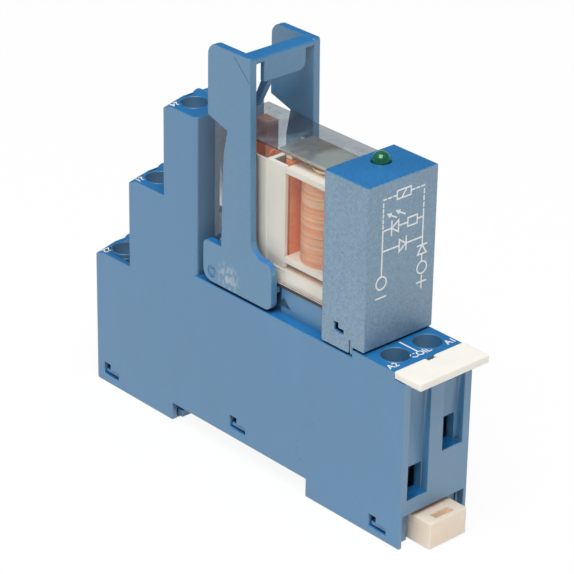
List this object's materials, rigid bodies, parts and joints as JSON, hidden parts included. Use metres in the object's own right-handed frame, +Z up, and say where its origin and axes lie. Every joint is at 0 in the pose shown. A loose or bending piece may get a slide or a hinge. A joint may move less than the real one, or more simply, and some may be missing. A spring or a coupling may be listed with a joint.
{
  "type": "plug-in relay",
  "caption": "Plug-in relay on a stepped rail socket with screw terminals, tilting retaining clip, indicator module, marker tag and sprung rail clip.",
  "frame": {"origin": "under the middle of the part, level with the underside of the feet", "axes": "+X along the body from the stepped end towards the marker tag, +Y across the body, +Z up from the rail"},
  "size_m": [0.0842, 0.016, 0.0764],
  "materials": {
    "blue_plastic": "moulded, satin",
    "peach_plastic": "natural moulded plastic, slightly translucent",
    "white_plastic": "moulded, satin",
    "zinc_steel": "zinc plated",
    "brass": "stamped strip",
    "clear_plastic": "clear tinted cover",
    "cream_plastic": "moulded",
    "copper_wire": "enamelled copper wire",
    "copper": "copper alloy strip",
    "iron": "plated soft iron",
    "green_board": "printed circuit board",
    "green_lamp": "clear tinted lamp",
    "tan_enamel": "enamel",
    "black_plastic": "moulded",
    "blue_enamel": "enamel"
  },
  "bodies": {
    "socket": {"socket_housing": "blue_plastic", "base_plate": "blue_plastic", "contact_strip_12": "brass", "contact_strip_22": "brass", "contact_strip_11": "brass", "contact_strip_21": "brass", "contact_strip_14": "brass", "contact_strip_24": "brass", "contact_strip_a1": "brass", "contact_strip_a2": "brass"},
    "relay": {"relay_cover": "clear_plastic", "relay_base": "cream_plastic", "insulating_wall": "cream_plastic", "coil_bobbin": "cream_plastic", "coil_winding": "copper_wire", "coil_core": "iron", "yoke": "copper", "common_pin_1": "copper", "common_pin_2": "copper", "break_contact_1": "copper", "break_contact_2": "copper", "make_contact_1": "copper", "make_contact_2": "copper", "coil_pins": "copper"},
    "module": {"module_case": "blue_plastic", "module_base": "blue_plastic", "module_board": "green_board", "module_pins": "brass", "indicator_lamp": "green_lamp", "resistor": "tan_enamel", "diode": "black_plastic", "varistor": "blue_enamel"},
    "clip": {"retaining_clip": "blue_plastic"},
    "tag": {"marker_tag": "white_plastic"},
    "foot_clip": {"rail_clip": "peach_plastic"},
    "armature": {"armature": "iron"},
    "card": {"contact_card": "white_plastic"},
    "blade_1": {"moving_blade_1": "copper"},
    "blade_2": {"moving_blade_2": "copper"},
    "screw_12": {"terminal_screw_12": "zinc_steel"},
    "cage_12": {"clamp_cage_12": "zinc_steel"},
    "screw_22": {"terminal_screw_22": "zinc_steel"},
    "cage_22": {"clamp_cage_22": "zinc_steel"},
    "screw_11": {"terminal_screw_11": "zinc_steel"},
    "cage_11": {"clamp_cage_11": "zinc_steel"},
    "screw_21": {"terminal_screw_21": "zinc_steel"},
    "cage_21": {"clamp_cage_21": "zinc_steel"},
    "screw_14": {"terminal_screw_14": "zinc_steel"},
    "cage_14": {"clamp_cage_14": "zinc_steel"},
    "screw_24": {"terminal_screw_24": "zinc_steel"},
    "cage_24": {"clamp_cage_24": "zinc_steel"},
    "screw_a1": {"terminal_screw_a1": "zinc_steel"},
    "cage_a1": {"clamp_cage_a1": "zinc_steel"},
    "screw_a2": {"terminal_screw_a2": "zinc_steel"},
    "cage_a2": {"clamp_cage_a2": "zinc_steel"}
  },
  "joints": [
    {"name": "clip_tilt", "type": "hinge", "parent": "socket", "child": "clip", "pos_m": [-0.00965, 0, 0.034], "axis": [0, -1, 0], "range_deg": [0, 12.2]},
    {"name": "relay_lift", "type": "slide", "parent": "socket", "child": "relay", "axis": [0, 0, 1], "range_m": [0, 0.00312]},
    {"name": "armature_swing", "type": "hinge", "parent": "relay", "child": "armature", "pos_m": [0.00455, 0, 0.0591], "axis": [0, 1, 0], "range_deg": [0, 4.6]},
    {"name": "card_slide", "type": "slide", "parent": "relay", "child": "card", "axis": [-1, 0, 0], "range_m": [0, 0.000628], "stiffness_N_per_m": 150, "springref_m": -0.0004},
    {"name": "blade_1_flex", "type": "hinge", "parent": "relay", "child": "blade_1", "pos_m": [-0.00405, 0.0033, 0.041], "axis": [0, -1, 0], "range_deg": [0, 3.7]},
    {"name": "blade_2_flex", "type": "hinge", "parent": "relay", "child": "blade_2", "pos_m": [-0.00405, -0.0033, 0.041], "axis": [0, -1, 0], "range_deg": [0, 3.7]},
    {"name": "module_lift", "type": "slide", "parent": "socket", "child": "module", "axis": [0, 0, 1], "range_m": [0, 0.008]},
    {"name": "tag_lift", "type": "slide", "parent": "socket", "child": "tag", "axis": [0, 0, 1], "range_m": [0, 0.003]},
    {"name": "rail_clip_pull", "type": "slide", "parent": "socket", "child": "foot_clip", "axis": [1, 0, 0], "range_m": [0, 0.003], "stiffness_N_per_m": 600},
    {"name": "screw_12_turn", "type": "hinge", "parent": "socket", "child": "screw_12", "pos_m": [-0.03835, 0.0037, 0.0225], "axis": [0, 0, -1], "range_deg": [0, 1440.5]},
    {"name": "cage_12_rise", "type": "slide", "parent": "socket", "child": "cage_12", "axis": [0, 0, 1], "range_m": [0, 0.002]},
    {"name": "screw_22_turn", "type": "hinge", "parent": "socket", "child": "screw_22", "pos_m": [-0.03835, -0.0037, 0.0225], "axis": [0, 0, -1], "range_deg": [0, 1440.5]},
    {"name": "cage_22_rise", "type": "slide", "parent": "socket", "child": "cage_22", "axis": [0, 0, 1], "range_m": [0, 0.002]},
    {"name": "screw_11_turn", "type": "hinge", "parent": "socket", "child": "screw_11", "pos_m": [-0.0287, 0.0037, 0.04], "axis": [0, 0, -1], "range_deg": [0, 1440.5]},
    {"name": "cage_11_rise", "type": "slide", "parent": "socket", "child": "cage_11", "axis": [0, 0, 1], "range_m": [0, 0.002]},
    {"name": "screw_21_turn", "type": "hinge", "parent": "socket", "child": "screw_21", "pos_m": [-0.0287, -0.0037, 0.04], "axis": [0, 0, -1], "range_deg": [0, 1440.5]},
    {"name": "cage_21_rise", "type": "slide", "parent": "socket", "child": "cage_21", "axis": [0, 0, 1], "range_m": [0, 0.002]},
    {"name": "screw_14_turn", "type": "hinge", "parent": "socket", "child": "screw_14", "pos_m": [-0.01905, 0.0037, 0.0575], "axis": [0, 0, -1], "range_deg": [0, 1440.5]},
    {"name": "cage_14_rise", "type": "slide", "parent": "socket", "child": "cage_14", "axis": [0, 0, 1], "range_m": [0, 0.002]},
    {"name": "screw_24_turn", "type": "hinge", "parent": "socket", "child": "screw_24", "pos_m": [-0.01905, -0.0037, 0.0575], "axis": [0, 0, -1], "range_deg": [0, 1440.5]},
    {"name": "cage_24_rise", "type": "slide", "parent": "socket", "child": "cage_24", "axis": [0, 0, 1], "range_m": [0, 0.002]},
    {"name": "screw_a1_turn", "type": "hinge", "parent": "socket", "child": "screw_a1", "pos_m": [0.03188, 0.0037, 0.0272], "axis": [0, 0, -1], "range_deg": [0, 1440.5]},
    {"name": "cage_a1_rise", "type": "slide", "parent": "socket", "child": "cage_a1", "axis": [0, 0, 1], "range_m": [0, 0.002]},
    {"name": "screw_a2_turn", "type": "hinge", "parent": "socket", "child": "screw_a2", "pos_m": [0.03188, -0.0037, 0.0205], "axis": [0, 0, -1], "range_deg": [0, 1440.5]},
    {"name": "cage_a2_rise", "type": "slide", "parent": "socket", "child": "cage_a2", "axis": [0, 0, 1], "range_m": [0, 0.002]}
  ],
  "couplings": [
    {"joint": "clip_tilt", "follows": "relay_lift", "rad_per_m": 67.114},
    {"joint": "armature_swing", "follows": "card_slide", "rad_per_m": 125},
    {"joint": "blade_1_flex", "follows": "card_slide", "rad_per_m": 100},
    {"joint": "blade_2_flex", "follows": "card_slide", "rad_per_m": 100},
    {"joint": "screw_12_turn", "follows": "cage_12_rise", "rad_per_m": 12566},
    {"joint": "screw_22_turn", "follows": "cage_22_rise", "rad_per_m": 12566},
    {"joint": "screw_11_turn", "follows": "cage_11_rise", "rad_per_m": 12566},
    {"joint": "screw_21_turn", "follows": "cage_21_rise", "rad_per_m": 12566},
    {"joint": "screw_14_turn", "follows": "cage_14_rise", "rad_per_m": 12566},
    {"joint": "screw_24_turn", "follows": "cage_24_rise", "rad_per_m": 12566},
    {"joint": "screw_a1_turn", "follows": "cage_a1_rise", "rad_per_m": 12566},
    {"joint": "screw_a2_turn", "follows": "cage_a2_rise", "rad_per_m": 12566}
  ]
}
